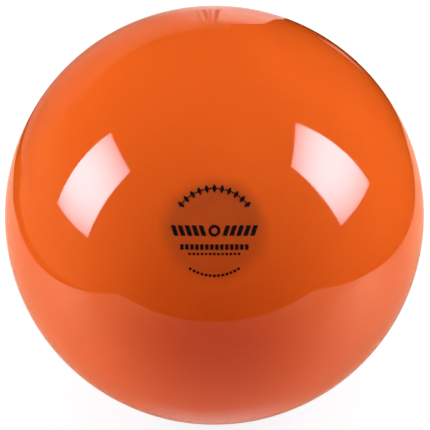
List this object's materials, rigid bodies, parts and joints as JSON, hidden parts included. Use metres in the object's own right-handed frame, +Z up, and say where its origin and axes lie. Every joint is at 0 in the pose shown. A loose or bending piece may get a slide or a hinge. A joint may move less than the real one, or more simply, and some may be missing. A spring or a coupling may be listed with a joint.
{
  "type": "gymnastics ball",
  "caption": "Hollow glossy ball with a flush plug valve, a balance disc behind the skin opposite the valve, and a small printed mark over that disc.",
  "frame": {"origin": "centre of the ball", "axes": "+Z up as the ball lies, +X to the viewer's right when facing the print; the print looks towards -Y and 30 degrees up, and the valve is at the opposite pole"},
  "size_m": [0.19, 0.19, 0.19],
  "materials": {
    "ball_pvc": "gloss",
    "seat_pvc": "satin",
    "plug_nylon": "satin",
    "disc_pvc": "satin",
    "mark_ink": "satin"
  },
  "bodies": {
    "ball": {"skin": "ball_pvc", "valve_seat": "seat_pvc", "balance_disc": "disc_pvc", "printed_mark": "mark_ink"},
    "plug": {"valve_plug": "plug_nylon"}
  },
  "joints": [
    {"name": "valve_plug_pull", "type": "slide", "parent": "ball", "child": "plug", "axis": [0, 0.866, -0.5], "range_m": [0, 0.022]}
  ]
}
